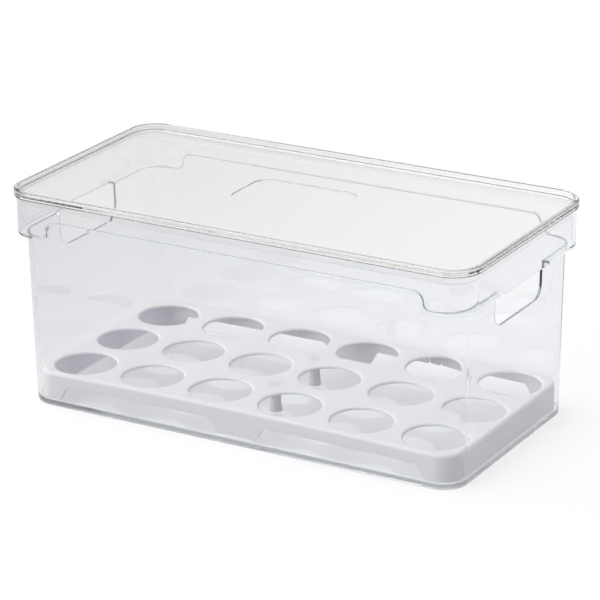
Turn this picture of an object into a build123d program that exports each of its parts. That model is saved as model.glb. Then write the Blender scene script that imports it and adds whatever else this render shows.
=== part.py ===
from build123d import *
import os
from math import radians, tan

# Egg keeper: a clear bin with a stepped collar and two handle holes, a clear lid that
# lifts off, and a white tray for eighteen eggs that stands loose on the bin's floor.
# Millimetres. Origin: centre of the base. X: length. Y: width. Z: up.

os.makedirs("parts", exist_ok=True)

# ---- driving dimensions ----
total_height = 145.0         # base to the top of the lid's lip
wall = 1.7                   # wall of the clear mouldings

# bin: body
base_length = 311.0
base_width = 156.0
base_radius = 17.0           # plan radius of the corners, at the base
draft_angle = 1.25           # degrees that the walls lean outwards
floor_thickness = 2.5
foot_ring_width = 4.0
foot_ring_depth = 1.5        # the floor's underside stands this far above the ring's
base_edge_round = 2.5
floor_edge_round = 1.4       # inside, where the floor meets the walls

# bin: collar round the mouth
collar_length = 326.8
collar_width = 164.8
collar_radius = 18.0
collar_top = 139.7
collar_end_bottom = 114.4    # lower edge, on the ends and round the corners
collar_side_bottom = 125.9   # lower edge, along the middle of the long sides
collar_bend_start = 138.6    # distance from the middle where the edge leaves the low level
collar_edge_round = 0.8

# bin: handle hole in each end, straight under the collar
handle_width = 64.0
handle_bottom = 92.0
handle_radius = 9.0

# lid
lid_length = 330.0
lid_width = 168.0
lid_radius = 19.6
lip_width = 2.8              # raised lip round the panel
lip_round = 1.2
panel_top = 141.9
panel_edge_round = 0.6
plug_gap = 0.6               # between the plug and the collar, on each side
plug_bottom = 134.4
plaque_length = 73.6
plaque_width = 46.4
plaque_radius = 11.0
plaque_depth = 0.5

# egg tray
tray_wall = 1.8
tray_gap = 1.9               # between the tray and the bin's walls, at the floor
tray_radius = 14.0
tray_height = 18.0           # at its ends
tray_camber = 2.0            # the middle of the plate stands this much higher
tray_edge_round = 2.3
egg_columns = 6
egg_rows = 3
egg_pitch_x = 51.0
egg_pitch_y = 50.0
egg_hole_diameter = 40.0
egg_hole_round = 1.5
skirt_depth = 9.0            # from the plate's top down to the notches
centre_foot_length = 30.0    # at its lower edge
corner_foot_start = 131.7    # from the middle, at its lower edge
notch_slant = 4.7            # a notch's ends lean in by this much over its height
notch_round = 2.0
post_diameter = 8.4
post_waist_diameter = 6.6

# ---- worked out from them ----
floor_top = foot_ring_depth + floor_thickness
bend_radius = (collar_side_bottom - collar_end_bottom) / 2
panel_bottom = panel_top - wall
tray_length = base_length - 2 * wall - 2 * tray_gap
tray_width = base_width - 2 * wall - 2 * tray_gap


def slab(length, width, radius, bottom, top):
    """A block with rounded corners in plan, between two heights."""
    outline = RectangleRounded(length, width, radius)
    return extrude(Plane.XY.offset(bottom) * outline, top - bottom)


def body_block(inset, bottom, top):
    """The body's tapering block between two heights, set in from its outer walls."""
    lean = bottom * tan(radians(draft_angle))
    grow = lean - inset
    outline = RectangleRounded(base_length + 2 * grow, base_width + 2 * grow, base_radius + grow)
    return extrude(Plane.XY.offset(bottom) * outline, top - bottom, taper=-draft_angle)


def below_collar_edge(offset):
    """Everything under the collar's lower edge, as seen from a long side.

    The edge is level along the middle, drops through two quarter turns and is level
    again at the corners. offset moves the whole edge up and out by that much.
    """
    bend_end = collar_bend_start - 2 * bend_radius
    high = Line((0, collar_side_bottom + offset), (bend_end, collar_side_bottom + offset))
    hollow_turn = JernArc(high @ 1, (1, 0), bend_radius + offset, -90)
    round_turn = JernArc(hollow_turn @ 1, (0, -1), bend_radius - offset, 90)
    low = Line(round_turn @ 1, (lid_length, collar_end_bottom + offset))
    rest = Polyline(low @ 1, (lid_length, 0), (0, 0), high @ 0)
    half = make_face([high, hollow_turn, round_turn, low, rest])
    return extrude(Plane.XZ * (half + mirror(half, about=Plane.YZ)), lid_width, both=True)


def collar_block(inset):
    """The block within the collar's outer faces, set in all round by inset."""
    block = slab(
        collar_length - 2 * inset,
        collar_width - 2 * inset,
        collar_radius - inset,
        collar_end_bottom + inset,
        collar_top,
    )
    return block - below_collar_edge(inset)


def collar_with_round_edge():
    """The collar's outer block, with its lower outside edge rounded all the way round."""
    collar = collar_block(0)
    lower_edges = [
        edge
        for edge in collar.edges()
        if edge.bounding_box().max.Z < collar_top - wall
        and edge.bounding_box().size.Y < collar_width - wall
    ]
    return fillet(lower_edges, collar_edge_round)


def handle_cut(end):
    """Opens one end wall and the ledge above it, as far out as the collar's wall."""
    top = collar_end_bottom + wall
    height = top - handle_bottom
    rounded = RectangleRounded(handle_width, 2 * height, handle_radius)
    outline = Pos(0, top) * rounded & Pos(0, top - height / 2) * Rectangle(handle_width, height)
    inner_x = base_length / 2 - 2 * wall
    outer_x = collar_length / 2 - wall
    plane = Plane(origin=(end * inner_x, 0, 0), x_dir=(0, end, 0), z_dir=(end, 0, 0))
    return extrude(plane * outline, outer_x - inner_x)


def storage_bin():
    """Clear bin: tapering body, stepped collar, floor on a foot ring, two handle holes."""
    body = body_block(0, 0, collar_top)
    body = fillet(body.edges().group_by(Axis.Z)[0], base_edge_round)
    hollow = body_block(wall, floor_top, collar_top)
    hollow = fillet(hollow.edges().group_by(Axis.Z)[0], floor_edge_round)
    foot_recess = slab(
        base_length - 2 * foot_ring_width,
        base_width - 2 * foot_ring_width,
        base_radius - foot_ring_width,
        0,
        foot_ring_depth,
    )
    shell = body + collar_with_round_edge() - hollow - collar_block(wall) - foot_recess
    return shell - handle_cut(1) - handle_cut(-1)


def lid():
    """Clear lid: raised lip, recessed panel with a bare sunk plaque, plug skirt underneath."""
    plate = slab(lid_length, lid_width, lid_radius, collar_top, total_height)
    plate = fillet(plate.edges().group_by(Axis.Z)[-1], lip_round)
    dish = slab(
        lid_length - 2 * lip_width,
        lid_width - 2 * lip_width,
        lid_radius - lip_width,
        panel_top,
        total_height,
    )
    dish = fillet(dish.edges().group_by(Axis.Z)[0], panel_edge_round)
    plug_inset = wall + plug_gap
    plug = slab(
        collar_length - 2 * plug_inset,
        collar_width - 2 * plug_inset,
        collar_radius - plug_inset,
        plug_bottom,
        collar_top,
    )
    plug_inset += wall
    under_panel = slab(
        collar_length - 2 * plug_inset,
        collar_width - 2 * plug_inset,
        collar_radius - plug_inset,
        plug_bottom,
        panel_bottom,
    )
    plaque = slab(plaque_length, plaque_width, plaque_radius, panel_top - plaque_depth, panel_top)
    return plate + plug - dish - under_panel - plaque


def camber_at(x):
    """How far the tray stands above its ends' level at a distance x from its middle."""
    return tray_camber * (1 - (2 * x / tray_length) ** 2)


def cambered_block(inset):
    """The tray's block under its cambered top, set in from its faces by inset."""
    reach = tray_length / 2 + tray_radius
    level = tray_height - inset
    end_level = level + camber_at(reach)
    top = ThreePointArc((-reach, end_level), (0, level + tray_camber), (reach, end_level))
    floor = -tray_wall
    rest = Polyline((reach, end_level), (reach, floor), (-reach, floor), (-reach, end_level))
    arch = extrude(Plane.XZ * make_face([top, rest]), tray_width, both=True)
    outline = slab(
        tray_length - 2 * inset,
        tray_width - 2 * inset,
        tray_radius - inset,
        -inset,
        tray_height + tray_camber,
    )
    return arch & outline


def below_long_skirt():
    """Everything under a long side's skirt: two notches with a short foot between them."""
    foot = (centre_foot_length / 2, tray_camber)
    roof_start = (foot[0] + notch_slant, tray_height - skirt_depth)
    roof_end = (corner_foot_start - notch_slant, tray_height - skirt_depth)
    right = [
        foot,
        (roof_start[0], roof_start[1] + camber_at(roof_start[0])),
        (roof_end[0], roof_end[1] + camber_at(roof_end[0])),
        (corner_foot_start, 0),
        (corner_foot_start, -tray_wall),
    ]
    left = [(-x, z) for x, z in reversed(right)]
    outline = make_face(Polyline(*right, *left, close=True))
    turns = [corner for corner in outline.vertices() if corner.Y > tray_camber / 2]
    outline = fillet(turns, notch_round)
    return extrude(Plane.XZ * outline, tray_width, both=True)


def support_post(y):
    """A waisted post under the plate, between two rows of eggs. Its top ends inside the plate."""
    bottom = tray_camber
    top = tray_height + tray_camber - tray_wall / 2
    end_radius = post_diameter / 2
    waist = (post_waist_diameter / 2, (bottom + top) / 2)
    side = ThreePointArc((end_radius, bottom), waist, (end_radius, top))
    rest = Polyline((end_radius, top), (0, top), (0, bottom), (end_radius, bottom))
    return Pos(0, y, 0) * revolve(Plane.XZ * make_face([side, rest]), Axis.Z)


def egg_tray():
    """White tray: cambered plate with egg holes, notched skirt and two support posts."""
    outer = cambered_block(0)
    rim = outer.edges().filter_by(lambda edge: edge.bounding_box().min.Z > tray_height - tray_wall)
    tray = fillet(rim, tray_edge_round) - cambered_block(tray_wall) - below_long_skirt()
    for place in GridLocations(egg_pitch_x, egg_pitch_y, egg_columns, egg_rows):
        tray -= place * Cylinder(egg_hole_diameter / 2, 3 * tray_height)
    hole_rims = [
        edge
        for edge in tray.edges()
        if abs(edge.bounding_box().size.Y - egg_hole_diameter) < egg_hole_round
        and edge.center().Z > tray_height - tray_wall / 2 + camber_at(edge.center().X)
    ]
    tray = fillet(hole_rims, egg_hole_round)
    for gap in (-0.5, 0.5):
        tray += support_post(gap * egg_pitch_y)
    return Pos(0, 0, floor_top) * tray


parts = {"storage_bin": storage_bin(), "lid": lid(), "egg_tray": egg_tray()}
for name, shape in parts.items():
    export_step(shape, f"parts/{name}.step")
    print(name, round(shape.volume), shape.is_valid, len(shape.solids()))
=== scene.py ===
"""An egg keeper's finish: a clear bin, a clear lift-off lid and a white tray for eighteen eggs.

Laid out as an add-on and run as a script. Each piece is a closed surface worked out with numpy
over one quarter of its plan, or over one egg's cell, and stands where its solid stands.
"""

import math
from collections import namedtuple

import bmesh
import bpy
import numpy as np
from bpy.props import FloatProperty, FloatVectorProperty, IntProperty, PointerProperty
from mathutils import Matrix, Vector


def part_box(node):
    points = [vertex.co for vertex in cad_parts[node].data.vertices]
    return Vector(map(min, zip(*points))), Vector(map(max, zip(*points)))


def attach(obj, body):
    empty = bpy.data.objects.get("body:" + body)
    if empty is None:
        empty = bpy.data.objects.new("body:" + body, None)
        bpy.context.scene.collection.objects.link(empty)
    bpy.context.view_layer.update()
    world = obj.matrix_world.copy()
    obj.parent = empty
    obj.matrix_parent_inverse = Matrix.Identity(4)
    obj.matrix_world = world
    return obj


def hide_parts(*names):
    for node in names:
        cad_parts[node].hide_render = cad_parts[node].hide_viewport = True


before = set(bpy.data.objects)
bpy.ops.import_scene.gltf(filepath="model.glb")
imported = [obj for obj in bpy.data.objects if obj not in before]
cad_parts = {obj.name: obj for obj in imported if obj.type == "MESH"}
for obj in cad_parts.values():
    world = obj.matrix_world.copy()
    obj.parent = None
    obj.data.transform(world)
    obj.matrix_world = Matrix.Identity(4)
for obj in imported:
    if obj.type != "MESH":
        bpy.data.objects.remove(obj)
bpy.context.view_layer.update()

bl_info = {
    "name": "Egg Keeper",
    "version": (1, 0, 0),
    "blender": (4, 5, 0),
    "location": "3D View > Sidebar > Egg Keeper",
    "description": "Builds a clear bin, its lift-off lid and a tray for eighteen eggs",
    "category": "Add Mesh",
}

MM = 0.001
BIN_LOW, BIN_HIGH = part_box("storage_bin")
LID_LOW, LID_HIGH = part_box("lid")
TRAY_LOW, TRAY_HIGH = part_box("egg_tray")
QUARTER_TURN = math.pi / 2
WELD_DISTANCE = 0.001 * MM

# A quarter's columns: distance back from the corner along each side, and the turn round it.
Columns = namedtuple("Columns", "back_x turn back_y")


def size(name, millimetres, description):
    """A length that the sidebar shows in the scene's own unit."""
    return FloatProperty(
        name=name, description=description, default=millimetres * MM, unit="LENGTH", precision=5
    )


def angle(name, degrees, description):
    """An angle that the sidebar shows in degrees."""
    return FloatProperty(
        name=name, description=description, default=math.radians(degrees), unit="ROTATION"
    )


def amount(name, default, description):
    """A plain number that isn't negative."""
    return FloatProperty(name=name, description=description, default=default, min=0)


def factor(name, default, description):
    """A number from 0 to 1 that the sidebar shows as a slider."""
    return FloatProperty(
        name=name, description=description, default=default, min=0, max=1, subtype="FACTOR"
    )


def linear(hex_colour):
    """An sRGB hex colour as linear red, green and blue."""
    channels = [int(hex_colour[i : i + 2], 16) / 255 for i in (1, 3, 5)]
    return tuple(c / 12.92 if c <= 0.04045 else ((c + 0.055) / 1.055) ** 2.4 for c in channels)


def colour(name, hex_colour, description):
    """A colour that the sidebar shows as a swatch."""
    return FloatVectorProperty(
        name=name,
        description=description,
        default=linear(hex_colour),
        subtype="COLOR",
        min=0,
        max=1,
    )


# ---- sizes and colours ----


class BinSizes(bpy.types.PropertyGroup):
    """Sizes of the clear bin."""

    wall: size("Wall", 1.7, "Thickness of the bin's walls")
    base_length: size("Base length", 311.0, "Length of the body at the base")
    base_width: size("Base width", 156.0, "Width of the body at the base")
    base_radius: size("Base radius", 17.0, "Corner radius of the body at the base")
    base_round: size("Base edge", 2.5, "Rounding of the edge that the body stands on")
    floor_top: size("Floor", 4.0, "Height of the floor inside")
    floor_round: size("Floor edge", 1.4, "Rounding inside, where the floor meets the walls")
    ring_width: size("Foot ring", 4.0, "Width of the ring under the base")
    ring_depth: size("Foot ring depth", 1.5, "Height of the base's underside above the ring's")
    collar_length: size("Collar length", (BIN_HIGH.x - BIN_LOW.x) / MM, "Length over the collar")
    collar_width: size("Collar width", (BIN_HIGH.y - BIN_LOW.y) / MM, "Width over the collar")
    collar_radius: size("Collar radius", 18.0, "Corner radius of the collar")
    collar_top: size("Rim", BIN_HIGH.z / MM, "Height of the rim")
    edge_high: size("High edge", 125.9, "Height of the collar's lower edge along the long sides")
    edge_low: size("Low edge", 114.4, "Height of the collar's lower edge at the ends and corners")
    bend_end: size("Bend end", 138.6, "Distance from the middle where the edge is low again")
    collar_round: size("Collar edge", 0.8, "Rounding of the collar's lower outside edge")
    handle_width: size("Handle width", 64.0, "Width of the handle holes")
    handle_bottom: size("Handle sill", 92.0, "Height of the handle holes' sill")
    handle_radius: size("Handle radius", 9.0, "Radius of the handle holes' lower corners")
    small_round: size("Small edges", 0.3, "Rounding of the mould's other edges")
    draft: angle("Draft", 1.25, "Angle that the body's walls lean outwards")


class LidSizes(bpy.types.PropertyGroup):
    """Sizes of the clear lid."""

    length: size("Length", (LID_HIGH.x - LID_LOW.x) / MM, "Length of the lid")
    width: size("Width", (LID_HIGH.y - LID_LOW.y) / MM, "Width of the lid")
    radius: size("Radius", 19.6, "Corner radius of the lid")
    top: size("Top", LID_HIGH.z / MM, "Height of the lip's top")
    underside: size("Underside", BIN_HIGH.z / MM, "Height of the face that rests on the bin's rim")
    lip_width: size("Lip", 2.8, "Width of the raised lip")
    lip_round: size("Lip edge", 1.2, "Rounding of the lip's outside edge")
    lip_inner_round: size("Lip inner edge", 0.8, "Rounding of the lip's inside edge")
    panel_top: size("Panel", 141.9, "Height of the recessed panel")
    panel_round: size("Panel edge", 0.6, "Hollow rounding where the panel meets the lip")
    under_round: size("Under edge", 0.6, "Hollow rounding where the plug meets the panel")
    panel_wall: size("Panel wall", 1.7, "Thickness of the panel")
    plug_inset: size("Plug inset", 3.9, "Distance from the lid's edge to the plug's outside")
    plug_wall: size("Plug wall", 1.7, "Thickness of the plug")
    plug_bottom: size("Plug bottom", LID_LOW.z / MM, "Height of the plug's lower edge")
    plaque_length: size("Plaque length", 73.6, "Length of the bare sunk plaque")
    plaque_width: size("Plaque width", 46.4, "Width of the bare sunk plaque")
    plaque_radius: size("Plaque radius", 11.0, "Corner radius of the plaque")
    plaque_depth: size("Plaque depth", 0.5, "Depth of the plaque in the panel")
    small_round: size("Small edges", 0.4, "Rounding of the mould's other edges")


class TraySizes(bpy.types.PropertyGroup):
    """Sizes of the white egg tray."""

    length: size("Length", (TRAY_HIGH.x - TRAY_LOW.x) / MM, "Length of the tray")
    width: size("Width", (TRAY_HIGH.y - TRAY_LOW.y) / MM, "Width of the tray")
    radius: size("Radius", 14.0, "Corner radius of the tray")
    bottom: size("Bottom", TRAY_LOW.z / MM, "Height of the corner feet")
    height: size("Height", 18.0, "Height of the plate above the corner feet, at its ends")
    camber: size("Camber", 2.0, "How much higher the plate stands in the middle")
    wall: size("Wall", 1.8, "Thickness of the plate and its skirt")
    edge_round: size("Edge", 2.3, "Rounding of the plate's outside edge")
    inner_round: size("Inner edge", 0.3, "Rounding inside, where the plate meets its skirt")
    low_round: size("Lower edge", 0.4, "Rounding of the skirt's lower edge")
    pitch_x: size("Pitch along", 51.0, "Distance between eggs along the tray")
    pitch_y: size("Pitch across", 50.0, "Distance between eggs across the tray")
    hole: size("Egg hole", 40.0, "Diameter of the egg holes")
    hole_round: size("Hole edge", 1.5, "Rounding of the egg holes' top edge")
    skirt: size("Skirt", 9.0, "Depth of the skirt above the notches")
    foot: size("Centre foot", 30.0, "Length of the centre foot at its lower edge")
    corner_foot: size("Corner foot", 131.7, "Distance from the middle to the corner feet")
    slant: size("Slant", 4.7, "Lean of a notch's end over its height")
    post: size("Post", 8.4, "Diameter of the support posts at their ends")
    post_waist: size("Post waist", 6.6, "Diameter of the support posts halfway up")
    columns: IntProperty(name="Columns", description="Eggs along the tray", default=6, min=1)
    rows: IntProperty(name="Rows", description="Eggs across the tray", default=3, min=1)


class Finish(bpy.types.PropertyGroup):
    """Colours and gloss of the three mouldings, and the floor's colour."""

    bin_clear: colour("Bin", "#F8F9FA", "What one wall of the bin lets through")
    bin_depth: colour("Bin depth", "#C9CED3", "What a long way through the bin lets through")
    bin_density: amount("Bin density", 7.0, "How fast the bin takes up light, per metre")
    lid_clear: colour("Lid", "#F9F9F9", "What one wall of the lid lets through")
    lid_depth: colour("Lid depth", "#DDDAD2", "What a long way through the lid lets through")
    lid_density: amount("Lid density", 4.0, "How fast the lid takes up light, per metre")
    clear_roughness: factor("Polish", 0.02, "Roughness of the polished clear plastic")
    matt_roughness: factor("Matt underside", 0.2, "Roughness of the bin's underside")
    tray_white: colour("Tray", "#EFEFF3", "The tray's white")
    tray_roughness: factor("Tray satin", 0.42, "Roughness of the tray's satin surface")
    floor_grey: colour("Floor", "#9C9C9C", "How much light the floor throws back on the piece")


class Stage(bpy.types.PropertyGroup):
    """The camera's place and the light."""

    azimuth: angle("Azimuth", 30.202, "How far round to the right of the front the camera stands")
    elevation: angle("Elevation", 20.472, "How far the camera looks down")
    roll: angle("Roll", -0.586, "The camera's own turn about its view")
    distance: size("Distance", 1961.04, "Distance from the camera to the point it looks at")
    target: FloatVectorProperty(
        name="Target",
        description="The point that the camera looks at",
        default=(2.739 * MM, 1.281 * MM, 72.176 * MM),
        subtype="TRANSLATION",
        unit="LENGTH",
        precision=5,
    )
    lens: FloatProperty(
        name="Lens",
        description="Focal length, in millimetres on a 36 mm sensor",
        default=184.87,
        min=1,
        unit="CAMERA",
    )
    key: amount("Key light", 2.6, "Strength of the soft lamp on the left")
    side: amount("Side light", 0.2, "Strength of the soft lamp on the right")
    fill: amount("Fill light", 0.55, "Strength of the light from overhead and all round")
    table: amount("Table light", 0.2, "Strength of the light that the floor itself gives")
    tint: colour("Fill tint", "#FAF9FF", "Colour of the fill light and the table light")
    gloss: amount("Gloss", 0.7, "How bright gloss sees the floor, next to how the camera does")
    left_shade: factor("Left shade", 0.55, "How bright clear plastic sees the floor's far left")
    room_wall: factor("Room", 0.35, "How bright clear plastic sees the room's walls")


# ---- surfaces ----


def steps(start, end, count):
    """Evenly spaced numbers from start to end in that many steps."""
    return np.linspace(start, end, count + 1)


def arc(centre, radius, start, end, count=4):
    """Points (out, up) on a circle about centre, for degrees from outwards towards up."""
    turn = np.radians(steps(start, end, count))[:, None]
    return np.array(centre) + radius * np.hstack([np.cos(turn), np.sin(turn)])


def ring(corner, radius, columns, z):
    """Rings round one quarter of a rounded rectangle.

    Each point is the corner's centre, moved back along a side by the column's distance, plus the
    radius in the direction of the column's turn: x by its sine and y by its cosine.
    """
    x = corner[0] - columns.back_x + radius * np.sin(columns.turn)
    y = corner[1] - columns.back_y + radius * np.cos(columns.turn)
    return np.stack(np.broadcast_arrays(x, y, z), axis=-1)


def between(first, second, share):
    """Columns that lie a share of the way from the first ones to the second ones."""
    return Columns(*[a + (b - a) * share for a, b in zip(first, second)])


def grid_faces(rows, columns, keep=None):
    """Corner numbers of a grid's quads, facing along (row direction) x (column direction)."""
    first = np.arange(rows - 1)[:, None] * columns + np.arange(columns - 1)
    quads = np.stack([first, first + columns, first + columns + 1, first + 1], axis=-1)
    return quads.reshape(-1, 4) if keep is None else quads[keep]


def mirrored(points, faces, sides):
    """A patch and its mirror images; sides holds the sign of x and y for each image."""
    all_points = [points * (*side, 1) for side in sides]
    all_faces = [
        (faces if side[0] * side[1] > 0 else faces[:, ::-1]) + number * len(points)
        for number, side in enumerate(sides)
    ]
    return np.concatenate(all_points), np.concatenate(all_faces)


QUARTERS = [(1, 1), (1, -1), (-1, -1), (-1, 1)]


def whole(patches, sides=QUARTERS):
    """One point list and one face list from (grid, keep, flip) patches and their mirror images."""
    points, faces, used = [], [], 0
    for grid, keep, flip in patches:
        quads = grid_faces(*grid.shape[:2], keep)
        flat, quads = mirrored(grid.reshape(-1, 3), quads[:, ::-1] if flip else quads, sides)
        points.append(flat)
        faces.append(quads + used)
        used += len(flat)
    return np.concatenate(points), np.concatenate(faces)


def solid(name, points, faces, material, body, node):
    """A closed, smooth-shaded object from points and quads that replaces a node on its body."""
    mesh = bpy.data.meshes.new(name)
    mesh.from_pydata(points, [], faces)
    shape = bmesh.new()
    shape.from_mesh(mesh)
    bmesh.ops.remove_doubles(shape, verts=shape.verts, dist=WELD_DISTANCE)
    open_edges = sum(not edge.is_manifold for edge in shape.edges)
    volume = shape.calc_volume(signed=True)
    shape.to_mesh(mesh)
    shape.free()
    if open_edges or volume <= 0:
        raise RuntimeError(f"{name} isn't closed: {open_edges} open edges, volume {volume}")
    print(f"{name}: {len(mesh.polygons)} faces, {volume / MM**3:.0f} mm3")
    mesh.shade_smooth()
    mesh.materials.append(material)
    piece = bpy.data.objects.new(name, mesh)
    bpy.context.scene.collection.objects.link(piece)
    normals = piece.modifiers.new("Weighted normals", "WEIGHTED_NORMAL")
    normals.keep_sharp = False
    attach(piece, body)
    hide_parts(node)
    return piece


# ---- bin ----

BEND_STEPS = 12      # segments in each quarter turn of the collar's lower edge
CORNER_STEPS = 32    # segments round a corner
ROUND_STEPS = 6      # segments across a small rounding
HOLE_TURN_STEPS = 3  # segments in each half of a handle hole's corner
LONG_SIDE_SHARES = np.array([0, 0.3, 0.55, 0.75, 0.9])  # columns before the edge's bend


class BinShape:
    """The bin's surfaces over the quarter where x and y are positive.

    Columns run from the middle of the long side, round the corner, to the middle of the end.
    """

    def __init__(self, s):
        self.s = s
        self.lean = math.tan(s.draft)
        self.body_corner = (s.base_length / 2 - s.base_radius, s.base_width / 2 - s.base_radius)
        self.collar_corner = (
            s.collar_length / 2 - s.collar_radius,
            s.collar_width / 2 - s.collar_radius,
        )
        self.set_long_side()
        self.set_end()
        corners = CORNER_STEPS - 1
        ends = len(self.end_y)
        self.edge_z = np.concatenate([self.long_z, np.full(corners + ends, s.edge_low)])
        self.up_z = np.concatenate([self.long_up_z, np.ones(corners + ends)])
        # The ledge is narrow along the long sides, wide on the ends and grows round the corners.
        growth = np.concatenate(
            [0 * self.long_x, steps(0, 1, CORNER_STEPS)[1:-1], np.ones(ends)]
        )
        on_sides = (s.collar_width - s.base_width) / 2
        on_ends = (s.collar_length - s.base_length) / 2
        self.ledge = on_sides + (on_ends - on_sides) * growth**2 - self.edge_z * self.lean

    def set_long_side(self):
        """The collar's lower edge along the long side: x, z and the unit vector into the collar.

        It is level, turns down through a quarter circle about a point below it, turns level again
        through one about a point above it, and runs on to the corner.
        """
        s = self.s
        bend = (s.edge_high - s.edge_low) / 2
        start = s.bend_end - 2 * bend
        turn = steps(0, QUARTER_TURN, BEND_STEPS)
        high = LONG_SIDE_SHARES * start
        low = steps(s.bend_end, self.collar_corner[0], 2)[1:]
        level = np.ones(len(high)), np.ones(len(low))
        down = turn[1:]
        self.long_x = np.concatenate(
            [high, start + bend * np.sin(turn), s.bend_end - bend * np.cos(down), low]
        )
        self.long_z = np.concatenate([
            s.edge_high * level[0],
            s.edge_high - bend * (1 - np.cos(turn)),
            s.edge_low + bend * (1 - np.sin(down)),
            s.edge_low * level[1],
        ])
        self.long_up_x = np.concatenate([0 * high, np.sin(turn), np.cos(down), 0 * low])
        self.long_up_z = np.concatenate([level[0], np.cos(turn), np.sin(down), level[1]])

    def set_end(self):
        """The columns' y along the end: the corner, the wall and the handle hole's outline."""
        s = self.s
        turn = np.radians(steps(45, 90, HOLE_TURN_STEPS))
        hole_corner = s.handle_width / 2 - s.handle_radius
        hole_y = hole_corner + s.handle_radius * np.cos(turn)
        wall_y = steps(self.body_corner[1], s.handle_width / 2 + 2 * s.wall, 2)
        self.end_y = np.concatenate(
            [[self.collar_corner[1]], wall_y, hole_y, [hole_corner / 2, 0]]
        )
        self.hole_start = len(self.long_x) + CORNER_STEPS + len(wall_y)

    def collar_columns(self, shift):
        """Columns on the collar, with the lower edge's points moved by shift into the collar."""
        x = self.long_x + self.long_up_x * shift
        turn = steps(0, QUARTER_TURN, CORNER_STEPS)[1:-1]
        return Columns(
            np.concatenate([self.collar_corner[0] - x, 0 * turn, 0 * self.end_y]),
            np.concatenate([0 * x, turn, 0 * self.end_y + QUARTER_TURN]),
            np.concatenate([0 * x, 0 * turn, self.collar_corner[1] - self.end_y]),
        )

    def body_columns(self, shift, inset):
        """Columns on the body with the collar's x on the long side and its y on the end."""
        corner_x, corner_y = self.body_corner
        radius = self.s.base_radius + self.s.edge_low * self.lean - inset
        x = self.long_x + self.long_up_x * shift
        x_turn = np.arcsin(np.clip((x - corner_x) / radius, 0, 1))
        y_turn = np.arccos(np.clip((self.end_y - corner_y) / radius, 0, 1))
        turn = steps(x_turn[-1], y_turn[0], CORNER_STEPS)[1:-1]
        return Columns(
            np.concatenate([np.maximum(corner_x - x, 0), 0 * turn, 0 * y_turn]),
            np.concatenate([x_turn, turn, y_turn]),
            np.concatenate([0 * x, 0 * turn, np.maximum(corner_y - self.end_y, 0)]),
        )

    def collar_line(self, shift, inset):
        """A line along the collar's lower edge, moved by shift into the collar and set in."""
        z = self.edge_z + self.up_z * shift
        return ring(
            self.collar_corner, self.s.collar_radius - inset, self.collar_columns(shift), z
        )

    def body_line(self, shift, inset):
        """A line where the ledge meets the body, moved by shift into the collar and set in."""
        z = self.edge_z + self.up_z * shift
        radius = self.s.base_radius + z * self.lean - inset
        wall = max(inset, 0)
        return ring(self.body_corner, radius, self.body_columns(shift, wall), z)

    def wall_ring(self, z, inset):
        """A level ring on the body's wall; its columns lean over to meet the ledge's."""
        s = self.s
        radius = s.base_radius + z * self.lean - inset
        share = np.clip(z / self.edge_z, 0, 1)
        foot = self.body_columns(0, 0)
        columns = between(foot, self.body_columns(inset, inset), share)
        return ring(self.body_corner, radius, columns, z)

    def end_wall(self, y, z, inset):
        """Points on the end's flat wall."""
        x = self.body_corner[0] + self.s.base_radius + z * self.lean - inset
        return np.stack(np.broadcast_arrays(x, y, z), axis=-1)


def matched_rows(shape, inner):
    """Rows that face each other through the wall: beside a handle hole, on the ledge and above it.

    On the outside the ledge's corner is hollow and its underside is level. On the inside the
    corner is round and the ledge's top turns up into the collar through a hollow rounding.
    """
    s = shape.s
    inset = s.wall if inner else 0
    small = s.small_round
    hole_turn = np.radians(steps(45, 0, HOLE_TURN_STEPS))
    centre_z = s.handle_bottom + s.handle_radius
    heights = [*(centre_z - s.handle_radius * np.sin(hole_turn)), (centre_z + s.edge_low) / 2]
    rows = [shape.wall_ring(z, inset) for z in heights]
    turns = steps(0, QUARTER_TURN, ROUND_STEPS)
    for turn in turns:
        down, out = small * (1 - math.sin(turn)), small * (1 - math.cos(turn))
        rows.append(shape.body_line(inset - down, inset - out))
    for turn in turns:
        over = s.wall + small * (1 - math.sin(turn))
        shift = s.wall + small * (1 - math.cos(turn)) if inner else 0
        rows.append(shape.collar_line(shift, over if inner else np.minimum(over, shape.ledge / 2)))
    return np.array(rows)


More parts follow.
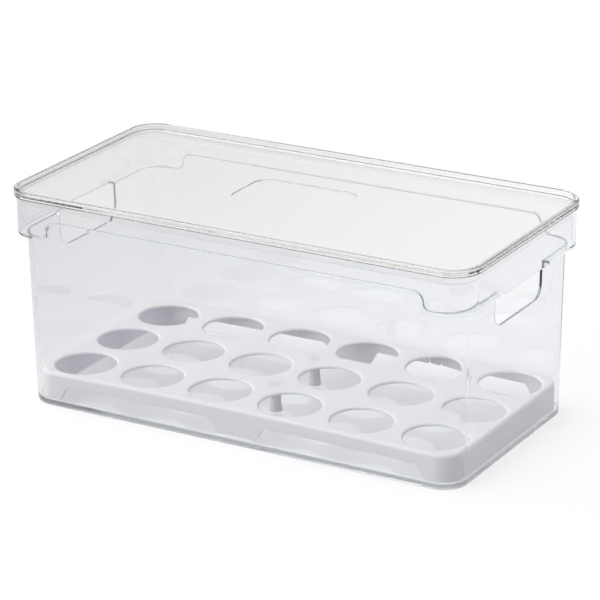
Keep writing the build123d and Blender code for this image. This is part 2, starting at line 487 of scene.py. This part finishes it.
def handle_rim(shape, outer, inner):
    """Moves points of the matched rows to a handle hole's edge and returns the strip through it.

    The hole's outline is level along the sill, turns up through a corner, runs up the jamb and out
    under the ledge, and crosses along the collar's wall. The strip's section is a quarter round
    off the outside, a straight run through the wall and a quarter round on to the inside.
    """
    s = shape.s
    small = s.small_round
    start = shape.hole_start
    rows, columns = outer.shape[:2]
    sill = np.arange(columns - 1, start, -1)
    jamb = np.arange(rows)
    across = np.arange(start + 1, columns)
    path_row = np.concatenate([0 * sill, jamb, np.full(len(across), rows - 1)])
    path_column = np.concatenate([sill, np.full(len(jamb), start), across])

    turn = np.radians(steps(90, 0, 2 * HOLE_TURN_STEPS))
    hole_corner = s.handle_width / 2 - s.handle_radius
    centre_z = s.handle_bottom + s.handle_radius
    flat_y = shape.end_y[-1 : -3 : -1]
    y = np.concatenate([flat_y, hole_corner + s.handle_radius * np.cos(turn)])
    z = np.concatenate([0 * flat_y + s.handle_bottom, centre_z - s.handle_radius * np.sin(turn)])
    away_y = np.concatenate([0 * flat_y, np.cos(turn)])
    away_z = np.concatenate([0 * flat_y - 1, -np.sin(turn)])
    wall_rows = HOLE_TURN_STEPS + 2
    y, away_y = np.append(y, s.handle_width / 2), np.append(away_y, 1)
    z, away_z = np.append(z, outer[wall_rows - 1, start, 2]), np.append(away_z, 0)
    on_wall = len(y)

    edges = []
    for sheet, inset, fold in ((outer, 0, (small, 0, 0)), (inner, s.wall, (0, 0, small))):
        sharp = sheet[path_row, path_column]
        sharp[:on_wall] = shape.end_wall(y, z, inset)
        sharp[on_wall : len(sill) + len(jamb), 1] = s.handle_width / 2
        round_off = sharp.copy()
        round_off[:on_wall] = shape.end_wall(y + small * away_y, z + small * away_z, inset)
        round_off[on_wall : len(sill) + len(jamb), 1] += small
        round_off[len(sill) + len(jamb) - 1 :] += fold
        sheet[path_row, path_column] = round_off
        edges.append((sharp, round_off - sharp))
    (outside, outside_off), (inside, inside_off) = edges
    through = inside - outside
    through *= small / np.linalg.norm(through, axis=-1, keepdims=True)
    turns = steps(0, QUARTER_TURN, ROUND_STEPS)[:, None, None]
    near = outside + outside_off * (1 - np.sin(turns)) + through * (1 - np.cos(turns))
    far = inside + inside_off * (1 - np.sin(turns)) - through * (1 - np.cos(turns))
    return np.concatenate([near, far[::-1]])


def bin_surface(s):
    """The bin's points and faces.

    One sheet runs from the base's middle out over the foot ring, up the wall, out under the ledge,
    up the collar, over the rim and back down the inside to the middle of the floor. Each handle
    hole is left out of it twice, outside and inside, and a strip through the wall joins the two.
    """
    shape = BinShape(s)
    small = s.small_round
    columns = len(shape.edge_z)

    def wall_rings(places):
        """Rings for (inset, height) pairs."""
        return np.array([shape.wall_ring(z, inset) for inset, z in places])

    def top_rings(places):
        """Level rings on the collar for (inset, height) pairs."""
        plan = shape.collar_columns(0)
        corner, radius = shape.collar_corner, s.collar_radius
        return np.array([ring(corner, radius - inset, plan, z) for inset, z in places])

    below = wall_rings([
        (s.ring_width + small, s.ring_depth),
        (s.ring_width, s.ring_depth - small),
        *arc((s.ring_width - small, small), small, 0, -90),
        *arc((s.base_round, s.base_round), s.base_round, -90, -180, 2 * ROUND_STEPS),
        (0, s.handle_bottom - 2 * s.wall),
    ])
    outer = matched_rows(shape, inner=False)
    inner = matched_rows(shape, inner=True)
    rim = handle_rim(shape, outer, inner)
    edge_turns = steps(0, QUARTER_TURN, ROUND_STEPS)
    edge = s.collar_round
    above = np.array([
        shape.collar_line(edge * (1 - math.cos(turn)), edge * (1 - math.sin(turn)))
        for turn in edge_turns
    ])
    over_rim = top_rings([
        *arc((small, s.collar_top - small), small, 180, 90),
        *arc((s.wall - small, s.collar_top - small), small, 90, 0),
    ])
    soft = s.floor_round
    inside = wall_rings([
        (s.wall, s.handle_bottom - 2 * s.wall),
        *arc((s.wall + soft, s.floor_top + soft), soft, 180, 270, 2 * ROUND_STEPS),
    ])
    underside_middle = np.broadcast_to([0, 0, s.ring_depth], (1, columns, 3))
    floor_middle = np.broadcast_to([0, 0, s.floor_top], (1, columns, 3))
    sheet = np.concatenate(
        [underside_middle, below, outer, above, over_rim, inner[::-1], inside, floor_middle]
    )
    keep = np.ones((len(sheet) - 1, columns - 1), bool)
    outer_start = 1 + len(below)
    inner_start = outer_start + len(outer) + len(above) + len(over_rim)
    for first in (outer_start, inner_start):
        keep[first : first + len(outer) - 1, shape.hole_start :] = False
    return whole([(sheet, keep, False), (rim, None, True)])


# ---- lid ----

LID_SIDE_SHARES = np.array([1, 0.66, 0.33, 0])  # columns from a side's middle to its corner


def lid_surface(s):
    """The lid's points and faces.

    A profile of (corner radius, height) is carried round the plan. It starts in the middle of the
    bare plaque, climbs its edge, crosses the panel, climbs the raised lip, turns over it, comes in
    along the underside, runs down the plug and round its lower edge, which is a half circle, and
    ends under the middle of the panel.
    """
    corner = (s.length / 2 - s.radius, s.width / 2 - s.radius)
    dish = s.radius - s.lip_width
    plug = s.radius - s.plug_inset
    plug_inner = plug - s.plug_wall
    panel_under = s.panel_top - s.panel_wall
    small, soft, under = s.small_round, s.panel_round, s.under_round
    lip, lip_inner = s.lip_round, s.lip_inner_round
    nose = s.plug_wall / 2
    profile = np.concatenate([
        arc((dish - soft, s.panel_top + soft), soft, -90, 0),
        arc((dish + lip_inner, s.top - lip_inner), lip_inner, 180, 90),
        arc((s.radius - lip, s.top - lip), lip, 90, 0, 2 * ROUND_STEPS),
        arc((s.radius - small, s.underside + small), small, 0, -90),
        arc((plug + small, s.underside - small), small, 90, 180),
        arc((plug - nose, s.plug_bottom + nose), nose, 0, -180, 2 * ROUND_STEPS),
        arc((plug_inner - under, panel_under - under), under, 0, 90),
    ])
    side = LID_SIDE_SHARES
    turn = steps(0, QUARTER_TURN, CORNER_STEPS)[1:-1]
    back_x = np.concatenate([side, 0 * turn, 0 * side])
    back_y = np.concatenate([0 * side, 0 * turn, 1 - side])
    turns = np.concatenate([0 * side, turn, 0 * side + QUARTER_TURN])

    def rings(centre, places):
        """Rings about a corner's centre for (corner radius, height) pairs."""
        columns = Columns(centre[0] * back_x, turns, centre[1] * back_y)
        return np.array([ring(centre, radius, columns, z) for radius, z in places])

    plaque_corner = (s.plaque_length / 2 - s.plaque_radius, s.plaque_width / 2 - s.plaque_radius)
    half = s.plaque_depth / 2
    plaque_floor = s.panel_top - s.plaque_depth
    plaque = np.concatenate([
        arc((s.plaque_radius - half, plaque_floor + half), half, -90, 0),
        arc((s.plaque_radius + half, s.panel_top - half), half, 180, 90)[1:],
    ])
    middle = np.zeros((1, len(turns), 3))
    sheet = np.concatenate([
        middle + (0, 0, plaque_floor),
        rings(plaque_corner, plaque),
        rings(corner, profile),
        middle + (0, 0, panel_under),
    ])
    return whole([(sheet, None, True)])


# ---- egg tray ----

CELL_STEPS = 12   # segments along each side of an egg's cell
NOTCH_RAMP = 1.5  # a notch's end takes this times its slant, for a smooth step is steep halfway


def camber(s, x):
    """How far the plate stands above its ends' level: camber (1 - (2 x / length)^2)."""
    return s.camber * (1 - (2 * x / s.length) ** 2)


def smooth_step(x, middle, width):
    """A ramp from 0 to 1 about middle: 3 t^2 - 2 t^3, where t goes from 0 to 1 over the width."""
    t = np.clip((x - middle) / width + 0.5, 0, 1)
    return t * t * (3 - 2 * t)


def skirt_bottom(s, x):
    """Height of the skirt's lower edge above the corner feet, which reach from the ends.

    The camber lifts the centre foot. Between the feet a notch rises to the skirt's depth below the
    plate, over two slanting ends.
    """
    ramp = NOTCH_RAMP * s.slant
    far = np.abs(x)
    roof = s.height - s.skirt + camber(s, x)
    into_corner = smooth_step(far, s.corner_foot - s.slant / 2, ramp)
    notch = smooth_step(far, (s.foot + s.slant) / 2, ramp) * (1 - into_corner)
    return s.camber * (1 - into_corner) * (1 - notch) + roof * notch


def side_places(s, start, end, is_rim):
    """Shares along one side of a cell: even steps, and closer ones over the ends of a notch."""
    places = steps(0, 1, CELL_STEPS)
    if is_rim and start[1] == end[1]:
        ramp = NOTCH_RAMP * s.slant
        middles = np.array([(s.foot + s.slant) / 2, s.corner_foot - s.slant / 2])
        near = (steps(-ramp / 2, ramp / 2, 2 * ROUND_STEPS) + middles[:, None]).ravel()
        x = np.concatenate([near, -near])
        extra = (x - start[0]) / (end[0] - start[0])
        places = np.concatenate([places, extra[(extra > 0) & (extra < 1)]])
    return np.unique(places.round(6))[:-1]


def cell_outline(s, column, row):
    """One egg's cell: its centre, the points round it and which of them lie on the tray's edge.

    The sides lie halfway to the next cells. On the tray's own edge they lie where the plate starts
    to round over, and a corner cell's outer corner is an arc. The points run counter-clockwise
    from the lower right corner, without repeating the first.
    """
    place = np.array([column, row])
    count = np.array([s.columns, s.rows])
    pitch = np.array([s.pitch_x, s.pitch_y])
    outer = np.array([s.length, s.width]) / 2 - s.edge_round
    centre = (place - (count - 1) / 2) * pitch
    at_low, at_high = place == 0, place == count - 1
    low = np.where(at_low, -outer, centre - pitch / 2)
    high = np.where(at_high, outer, centre + pitch / 2)
    corners = np.array([[high[0], low[1]], high, [low[0], high[1]], low])
    side_on_rim = [at_high[0], at_high[1], at_low[0], at_low[1]]
    radius = s.radius - s.edge_round
    points, rim = [], []
    for side in range(4):
        start, end = corners[side], corners[(side + 1) % 4]
        along = np.sign(end - start)
        starts_round = side_on_rim[side - 1] and side_on_rim[side]
        ends_round = side_on_rim[side] and side_on_rim[(side + 1) % 4]
        if starts_round:
            before = np.sign(start - corners[side - 1])
            turn = steps(0, QUARTER_TURN, CELL_STEPS)[:-1, None]
            arc_centre = start + (along - before) * radius
            points.append(arc_centre + radius * (before * np.sin(turn) - along * np.cos(turn)))
            rim.append(np.full(len(turn), True))
        start = start + along * radius * starts_round
        end = end - along * radius * ends_round
        places = side_places(s, start, end, side_on_rim[side])
        points.append(start + (end - start) * places[:, None])
        rim.append(np.full(len(places), side_on_rim[side]))
    return centre, np.concatenate(points), np.concatenate(rim)


def egg_cell(s, column, row):
    """One cell's grid: its outline on top, over the hole's rounded rim, down and back underneath.

    The rings are circles about the cell's centre, in the directions of the outline's points. Each
    point takes the camber's height where it lies.
    """
    centre, outline, _ = cell_outline(s, column, row)
    outward = outline - centre
    outward /= np.linalg.norm(outward, axis=1, keepdims=True)
    radius, soft, low = s.hole / 2, s.hole_round, s.inner_round
    profile = np.concatenate([
        arc((radius + soft, -soft), soft, 90, 180),
        arc((radius + low, low - s.wall), low, 180, 270, 2),
    ])
    plan = np.concatenate([[outline], centre + outward * profile[:, 0, None, None], [outline]])
    down = np.concatenate([[0], profile[:, 1], [-s.wall]])
    height = s.bottom + s.height + camber(s, plan[:, :, 0]) + down[:, None]
    grid = np.dstack([plan, height])
    return np.concatenate([grid, grid[:, :1]], axis=1)


def tray_edge(s):
    """The plate's rounded edge and its skirt: one profile carried along the tray's outline.

    It turns over a quarter round, runs down the skirt, round its lower edge and back up inside to
    the plate's underside. The lower edge follows the feet and the notches.
    """
    rim = []
    for row in range(s.rows):
        for column in range(s.columns):
            _, outline, is_rim = cell_outline(s, column, row)
            rim.append(outline[is_rim])
    rim = np.concatenate(rim)
    rim = rim[np.argsort(np.arctan2(rim[:, 1], rim[:, 0]))]
    rim = np.concatenate([rim, rim[:1]])
    corner = np.array([s.length, s.width]) / 2 - s.radius
    outward = rim - np.clip(rim, -corner, corner)
    outward /= np.linalg.norm(outward, axis=1, keepdims=True)

    edge, low, soft = s.edge_round, s.low_round, s.inner_round
    inside = edge - s.wall
    from_top = [
        arc((0, -edge), edge, 90, 0, 2 * ROUND_STEPS),
        np.concatenate([
            arc((inside - soft, -s.wall - soft), soft, 0, 90, 2),
            [(0, -s.wall)],
        ]),
    ]
    from_bottom = np.concatenate([
        arc((edge - low, low), low, 0, -90),
        arc((inside + low, low), low, -90, -180),
    ])

    def rings(profile, height):
        """Rings for (outward, up) pairs; height gives the level that up starts from at each x."""
        plan = rim + outward * profile[:, 0, None, None]
        return np.dstack([plan, s.bottom + height(plan[:, :, 0]) + profile[:, 1, None]])

    def top(x):
        return s.height + camber(s, x)

    return np.concatenate([
        rings(from_top[0], top),
        rings(from_bottom, lambda x: skirt_bottom(s, x)),
        rings(from_top[1], top),
    ])


def support_post(s, y):
    """A post under the plate: radius = waist + (end - waist) (2 t - 1)^2, t from foot to top."""
    bottom = s.bottom + s.camber
    top = s.bottom + s.height + s.camber - s.wall / 2
    share = steps(0, 1, 4 * ROUND_STEPS)[:, None]
    radius = (s.post_waist + (s.post - s.post_waist) * (2 * share - 1) ** 2) / 2
    radius = np.concatenate([[[0]], radius, [[0]]])
    height = np.concatenate([[[bottom]], bottom + (top - bottom) * share, [[top]]])
    turn = steps(0, 4 * QUARTER_TURN, CORNER_STEPS)
    return np.dstack([radius * np.cos(turn), y + radius * np.sin(turn), height + 0 * turn])


def tray_surface(s):
    """The tray's points and faces: a cell round every egg hole, the edge strip and two posts."""
    cells = [
        (egg_cell(s, column, row), None, True)
        for row in range(s.rows)
        for column in range(s.columns)
    ]
    posts = [(support_post(s, gap * s.pitch_y), None, True) for gap in (-0.5, 0.5)]
    return whole([*cells, (tray_edge(s), None, False), *posts], sides=[(1, 1)])


# ---- materials ----

RIPPLE_LENGTH = 24 * MM    # from one ripple in the clear plastic to the next
RIPPLE_HEIGHT = 0.12 * MM
RIPPLE_STRENGTH = 0.04
MATT_FADE = 0.1 * MM       # height over which matt turns into polished
CLEAR_FACE = (0.98, 0.98, 0.98, 1)  # what straight light keeps at one face of clear plastic
GRAIN_SIZE = 0.7 * MM
GRAIN_HEIGHT = 0.03 * MM
GRAIN_STRENGTH = 0.2
SINK_SIZE = 30 * MM        # of the patches where the satin's gloss changes
SINK_GLOSS = 0.05          # how far the roughness goes up and down with them
SINK_RANGE = (0.3, 0.7)    # of the noise, which seldom goes beyond it
GLOW_DEPTH = 3 * MM        # how far light spreads inside white polypropylene
GLOW_REACH = (1.0, 1.0, 1.3)  # of that depth, for red, green and blue: shaded faces look cool
GLOW_SHARE = 0.8


def add_node(tree, kind, inputs=None, **settings):
    """Adds a node with its settings; an input is a number, a colour or a socket to link."""
    node = tree.nodes.new(kind)
    for name, value in settings.items():
        setattr(node, name, value)
    for name, value in (inputs or {}).items():
        if isinstance(value, bpy.types.NodeSocket):
            tree.links.new(value, node.inputs[name])
        else:
            node.inputs[name].default_value = value
    return node


def empty_material(name):
    """A material with an output node only, and its node tree."""
    material = bpy.data.materials.new(name)
    material.use_nodes = True
    tree = material.node_tree
    tree.nodes.clear()
    return material, tree, add_node(tree, "ShaderNodeOutputMaterial")


def bumpy(tree, coordinates, length, height, strength, **noise):
    """The normal of a face with noise on it, of a length and a height in metres."""
    inputs = {"Vector": coordinates, "Scale": 1 / length, **noise}
    level = add_node(tree, "ShaderNodeTexNoise", inputs).outputs["Fac"]
    inputs = {"Height": level, "Strength": strength, "Distance": height}
    return add_node(tree, "ShaderNodeBump", inputs).outputs["Normal"]


def clear_polystyrene(name, clear, depth, density, roughness, matt=0, matt_below=0):
    """Crystal-clear polystyrene, injection moulded in a polished tool.

    The eye gets a sharp, glassy gloss and bends of light at every edge. The faces are not quite
    flat: the melt leaves shallow ripples some centimetres long where it flowed and shrank. Looked
    along, the plastic turns grey, because the light has come a long way through it. The tool isn't
    polished under the foot, so below matt_below the faces are matt and the edge glows softly.
    """
    material, tree, output = empty_material(name)
    coordinates = add_node(tree, "ShaderNodeTexCoord").outputs["Object"]
    height = add_node(tree, "ShaderNodeSeparateXYZ", {0: coordinates}).outputs["Z"]
    finish = add_node(
        tree,
        "ShaderNodeMapRange",
        {
            "Value": height,
            "From Min": matt_below + 0.5 * MATT_FADE,
            "From Max": matt_below + 1.5 * MATT_FADE,
            "To Min": matt,
            "To Max": roughness,
        },
    )
    ripple = (RIPPLE_LENGTH, RIPPLE_HEIGHT, RIPPLE_STRENGTH)
    plastic = add_node(
        tree,
        "ShaderNodeBsdfPrincipled",
        {
            "Base Color": (*clear, 1),
            "Roughness": finish.outputs[0],
            "IOR": 1.59,
            "Transmission Weight": 1.0,
            "Normal": bumpy(tree, coordinates, *ripple, Detail=1.0, Roughness=0.4),
        },
    )
    # Lamps and diffuse light pass straight through: bent light would take too many samples.
    passing = add_node(tree, "ShaderNodeBsdfTransparent", {"Color": CLEAR_FACE})
    ray = add_node(tree, "ShaderNodeLightPath").outputs
    light = add_node(
        tree,
        "ShaderNodeMath",
        {0: ray["Is Shadow Ray"], 1: ray["Is Diffuse Ray"]},
        operation="MAXIMUM",
    )
    surface = add_node(
        tree,
        "ShaderNodeMixShader",
        {0: light.outputs[0], 1: plastic.outputs[0], 2: passing.outputs[0]},
    )
    absorbed = {"Color": (*depth, 1), "Density": density}
    inside = add_node(tree, "ShaderNodeVolumeAbsorption", absorbed)
    tree.links.new(surface.outputs[0], output.inputs["Surface"])
    tree.links.new(inside.outputs[0], output.inputs["Volume"])
    return material


def white_polypropylene(name, white, roughness):
    """White polypropylene, injection moulded in a tool with a fine spark-eroded texture.

    The eye gets a soft satin with a broad, weak highlight, and a trace of unevenness in the gloss
    where the sheet sinks over its ribs. Light goes a little way into it, so shaded faces glow. The
    real grain is about 0.1 mm, which is too fine to show, so it is drawn at 0.7 mm.
    """
    material, tree, output = empty_material(name)
    coordinates = add_node(tree, "ShaderNodeTexCoord").outputs["Object"]
    sink = add_node(
        tree, "ShaderNodeTexNoise", {"Vector": coordinates, "Scale": 1 / SINK_SIZE, "Detail": 1.0}
    )
    gloss = add_node(
        tree,
        "ShaderNodeMapRange",
        {
            "Value": sink.outputs["Fac"],
            "From Min": SINK_RANGE[0],
            "From Max": SINK_RANGE[1],
            "To Min": roughness - SINK_GLOSS,
            "To Max": roughness + SINK_GLOSS,
        },
    )
    grain = (GRAIN_SIZE, GRAIN_HEIGHT, GRAIN_STRENGTH)
    plastic = add_node(
        tree,
        "ShaderNodeBsdfPrincipled",
        {
            "Base Color": (*white, 1),
            "Roughness": gloss.outputs[0],
            "IOR": 1.49,
            "Subsurface Weight": GLOW_SHARE,
            "Subsurface Radius": GLOW_REACH,
            "Subsurface Scale": GLOW_DEPTH,
            "Normal": bumpy(tree, coordinates, *grain, Detail=2.0),
        },
    )
    tree.links.new(plastic.outputs[0], output.inputs["Surface"])
    return material


def by_ray(tree, other, camera, glossy, transmission):
    """A level for each kind of ray that asks, as numbers or sockets.

    A ray through clear plastic counts as glossy and as transmitted, so transmission comes last.
    """
    ray = add_node(tree, "ShaderNodeLightPath").outputs
    level = other
    for kind, own in (("Camera", camera), ("Glossy", glossy), ("Transmission", transmission)):
        chosen = {0: ray[f"Is {kind} Ray"], 2: level, 3: own}
        level = add_node(tree, "ShaderNodeMix", chosen, data_type="FLOAT").outputs[0]
    return level


def tinted(tree, tint):
    """White for rays from the camera, glossy and transmitted rays, and a tint for all others."""
    white = by_ray(tree, 0, 1, 1, 1)
    mix = add_node(
        tree, "ShaderNodeMix", {0: white, 6: (*tint, 1), 7: (1, 1, 1, 1)}, data_type="RGBA"
    )
    return mix.outputs[2]


def falling_off(tree, to_left):
    """A level of 1 on the floor's right that falls smoothly to a lower one on its far left."""
    place = add_node(tree, "ShaderNodeTexCoord").outputs["Object"]
    along = add_node(tree, "ShaderNodeSeparateXYZ", {0: place}).outputs["X"]
    fall = add_node(
        tree,
        "ShaderNodeMapRange",
        {
            "Value": along,
            "From Min": SHADE_FAR,
            "From Max": SHADE_NEAR,
            "To Min": to_left,
            "To Max": 1.0,
        },
        interpolation_type="SMOOTHSTEP",
    )
    return fall.outputs[0]


def floor_paint(name, grey, glow, stage):
    """Matt white studio paper: grey to the light, with a glow that makes it up to white.

    The camera sees the full glow. Gloss sees less of it, and clear plastic sees a floor that is in
    shade on the far left. Diffuse rays get the table's own light, which lifts the lower faces.
    """
    material, tree, output = empty_material(name)
    paper = add_node(tree, "ShaderNodeBsdfDiffuse", {"Color": (*grey, 1)})
    shade = falling_off(tree, stage.left_shade)
    shaded = add_node(tree, "ShaderNodeMath", {0: shade, 1: glow}, operation="MULTIPLY")
    strength = by_ray(tree, stage.table, glow, stage.gloss * glow, shaded.outputs[0])
    light = add_node(
        tree, "ShaderNodeEmission", {"Color": tinted(tree, stage.tint), "Strength": strength}
    )
    both = add_node(tree, "ShaderNodeAddShader", {0: paper.outputs[0], 1: light.outputs[0]})
    tree.links.new(both.outputs[0], output.inputs["Surface"])
    material.cycles.emission_sampling = "NONE"  # aiming rays at so wide a floor only adds noise
    return material


# ---- stage ----

FLOOR_REACH = 8.0       # metres from the middle to the floor's edge
FLOOR_GAP = 0.2 * MM    # keeps the floor's face and the foot ring's apart
FLOOR_WHITE = 1.01      # a trace over 1, so that no grey is left where no shadow falls
KEY_FROM = Vector((-0.75, -0.43, 0.50)).normalized()  # from the left and a little in front
SIDE_FROM = Vector((0.74, 0.45, 0.50)).normalized()   # from the right and behind
LAMP_SPREAD = math.radians(80)
SHADE_NEAR = 0.1        # metres right of the middle where the floor's shade starts
SHADE_FAR = -0.6        # and where it is deepest
WALL_STARTS = (22, 36)  # degrees up from level where the room's darker walls fade in
WALL_ENDS = (50, 65)    # and where they fade out into the light overhead
SKY_SLOPE = 1.5         # a sky of 1.5 times its height lights a level face as an even 1 does
LIGHT_BOUNCES = 64      # light is led a long way along inside the clear walls
CLEAR_FACES = 24        # that light may pass straight through


def place_camera(stage):
    """The camera stands back from its target by azimuth and elevation, and rolls a little."""
    around, up_angle = stage.azimuth, stage.elevation
    back = Vector((
        math.sin(around) * math.cos(up_angle),
        -math.cos(around) * math.cos(up_angle),
        math.sin(up_angle),
    ))
    level = Vector((0, 0, 1)).cross(back).normalized()
    upright = back.cross(level)
    turn = stage.roll
    right = math.cos(turn) * level + math.sin(turn) * upright
    up = math.cos(turn) * upright - math.sin(turn) * level
    camera = bpy.data.objects.new("Camera", bpy.data.cameras.new("Camera"))
    camera.data.lens = stage.lens
    camera.data.sensor_width = 36
    camera.matrix_world = Matrix.LocRotScale(
        Vector(stage.target) + back * stage.distance,
        Matrix((right, up, back)).transposed(),
        None,
    )
    bpy.context.scene.collection.objects.link(camera)
    bpy.context.scene.camera = camera


def light_room(stage):
    """A soft lamp on each side, a sky that lights from overhead and a room with darker walls.

    Only glossy and transmitted rays see the walls, in a band between the white near the floor and
    the light overhead, so edges of the clear plastic turn grey and all behind it stays white. The
    lamps don't show in gloss, where they would burn out the lid.
    """
    for name, strength, place in (
        ("Key light", stage.key, KEY_FROM),
        ("Side light", stage.side, SIDE_FROM),
    ):
        lamp = bpy.data.lights.new(name, "SUN")
        lamp.energy = strength
        lamp.angle = LAMP_SPREAD
        light = bpy.data.objects.new(name, lamp)
        light.rotation_euler = place.to_track_quat("Z", "Y").to_euler()
        light.visible_glossy = False
        bpy.context.scene.collection.objects.link(light)

    world = bpy.data.worlds.new("Studio")
    bpy.context.scene.world = world
    world.use_nodes = True
    tree = world.node_tree
    tree.nodes.clear()
    direction = add_node(tree, "ShaderNodeTexCoord").outputs["Generated"]
    height = add_node(tree, "ShaderNodeSeparateXYZ", {0: direction}).outputs["Z"]
    fades = [
        add_node(
            tree,
            "ShaderNodeMapRange",
            {
                "Value": height,
                "From Min": math.sin(math.radians(start)),
                "From Max": math.sin(math.radians(end)),
                "To Min": before,
                "To Max": after,
            },
        ).outputs[0]
        for (start, end), before, after in (
            (WALL_STARTS, 1.0, stage.room_wall),
            (WALL_ENDS, stage.room_wall, 1.0),
        )
    ]
    room = add_node(
        tree, "ShaderNodeMath", {0: fades[0], 1: fades[1]}, operation="MAXIMUM"
    ).outputs[0]
    sky = add_node(
        tree,
        "ShaderNodeMath",
        {0: height, 1: SKY_SLOPE * stage.fill},
        operation="MULTIPLY",
        use_clamp=True,
    ).outputs[0]
    strength = by_ray(tree, sky, 1.0, room, room)
    background = add_node(
        tree, "ShaderNodeBackground", {"Color": tinted(tree, stage.tint), "Strength": strength}
    )
    output = add_node(tree, "ShaderNodeOutputWorld")
    tree.links.new(background.outputs[0], output.inputs["Surface"])


# ---- operators ----


class EGG_KEEPER_OT_bin(bpy.types.Operator):
    """Builds the clear bin with its stepped collar and two handle holes"""

    bl_idname = "egg_keeper.bin"
    bl_label = "Bin"

    def execute(self, context):
        settings = context.scene.egg_keeper
        finish = settings.finish
        plastic = clear_polystyrene(
            "Clear polystyrene, bin",
            finish.bin_clear,
            finish.bin_depth,
            finish.bin_density,
            finish.clear_roughness,
            matt=finish.matt_roughness,
            matt_below=settings.bin.ring_depth,
        )
        piece = solid("Bin", *bin_surface(settings.bin), plastic, "bin", "storage_bin")
        return {"FINISHED"}


class EGG_KEEPER_OT_lid(bpy.types.Operator):
    """Builds the clear lid with its lip, panel, bare plaque and plug"""

    bl_idname = "egg_keeper.lid"
    bl_label = "Lid"

    def execute(self, context):
        settings = context.scene.egg_keeper
        finish = settings.finish
        plastic = clear_polystyrene(
            "Clear polystyrene, lid",
            finish.lid_clear,
            finish.lid_depth,
            finish.lid_density,
            finish.clear_roughness,
        )
        piece = solid("Lid", *lid_surface(settings.lid), plastic, "lift_off_lid", "lid")
        return {"FINISHED"}


class EGG_KEEPER_OT_tray(bpy.types.Operator):
    """Builds the white tray with its egg holes, notched skirt and posts"""

    bl_idname = "egg_keeper.tray"
    bl_label = "Egg tray"

    def execute(self, context):
        settings = context.scene.egg_keeper
        finish = settings.finish
        plastic = white_polypropylene(
            "White polypropylene", finish.tray_white, finish.tray_roughness
        )
        piece = solid("EggTray", *tray_surface(settings.tray), plastic, "loose_tray", "egg_tray")
        return {"FINISHED"}


class EGG_KEEPER_OT_stage(bpy.types.Operator):
    """Adds the floor, the light and the camera"""

    bl_idname = "egg_keeper.stage"
    bl_label = "Stage"

    def execute(self, context):
        settings = context.scene.egg_keeper
        mesh = bpy.data.meshes.new("Floor")
        turns = ((-1, -1), (1, -1), (1, 1), (-1, 1))
        corners = [(FLOOR_REACH * x, FLOOR_REACH * y, -FLOOR_GAP) for x, y in turns]
        mesh.from_pydata(corners, [], [(0, 1, 2, 3)])
        grey = settings.finish.floor_grey
        stage = settings.stage
        lamps = stage.key * KEY_FROM.z + stage.side * SIDE_FROM.z
        lit = grey[1] * (stage.fill + lamps / math.pi)
        mesh.materials.append(floor_paint("Matt white paper", grey, FLOOR_WHITE - lit, stage))
        floor = bpy.data.objects.new("Floor", mesh)
        context.scene.collection.objects.link(floor)
        light_room(stage)
        place_camera(stage)
        context.scene.view_settings.view_transform = "Standard"
        cycles = context.scene.cycles
        cycles.max_bounces = LIGHT_BOUNCES
        cycles.glossy_bounces = LIGHT_BOUNCES
        cycles.transmission_bounces = LIGHT_BOUNCES
        cycles.transparent_max_bounces = CLEAR_FACES
        return {"FINISHED"}


class EggKeeper(bpy.types.PropertyGroup):
    """All settings of the egg keeper."""

    bin: PointerProperty(name="Bin", description="Sizes of the bin", type=BinSizes)
    lid: PointerProperty(name="Lid", description="Sizes of the lid", type=LidSizes)
    tray: PointerProperty(name="Tray", description="Sizes of the egg tray", type=TraySizes)
    finish: PointerProperty(name="Finish", description="Colours and gloss", type=Finish)
    stage: PointerProperty(name="Stage", description="Camera and light", type=Stage)


OPERATORS = (EGG_KEEPER_OT_bin, EGG_KEEPER_OT_lid, EGG_KEEPER_OT_tray, EGG_KEEPER_OT_stage)


class EGG_KEEPER_PT_panel(bpy.types.Panel):
    """Lists the pieces and their sizes"""

    bl_label = "Egg Keeper"
    bl_space_type = "VIEW_3D"
    bl_region_type = "UI"
    bl_category = "Egg Keeper"

    def draw(self, context):
        settings = context.scene.egg_keeper
        groups = (settings.bin, settings.lid, settings.tray, settings.stage)
        for operator, group in zip(OPERATORS, groups):
            box = self.layout.box()
            box.operator(operator.bl_idname)
            for name in group.__annotations__:
                box.prop(group, name)
        box = self.layout.box()
        for name in settings.finish.__annotations__:
            box.prop(settings.finish, name)


CLASSES = (
    BinSizes, LidSizes, TraySizes, Finish, Stage, EggKeeper, *OPERATORS, EGG_KEEPER_PT_panel
)


def register():
    for each in CLASSES:
        bpy.utils.register_class(each)
    bpy.types.Scene.egg_keeper = PointerProperty(type=EggKeeper)


def unregister():
    del bpy.types.Scene.egg_keeper
    for each in reversed(CLASSES):
        bpy.utils.unregister_class(each)


def main():
    register()
    bpy.ops.egg_keeper.bin()
    bpy.ops.egg_keeper.lid()
    bpy.ops.egg_keeper.tray()
    bpy.ops.egg_keeper.stage()


if __name__ == "__main__":
    main()
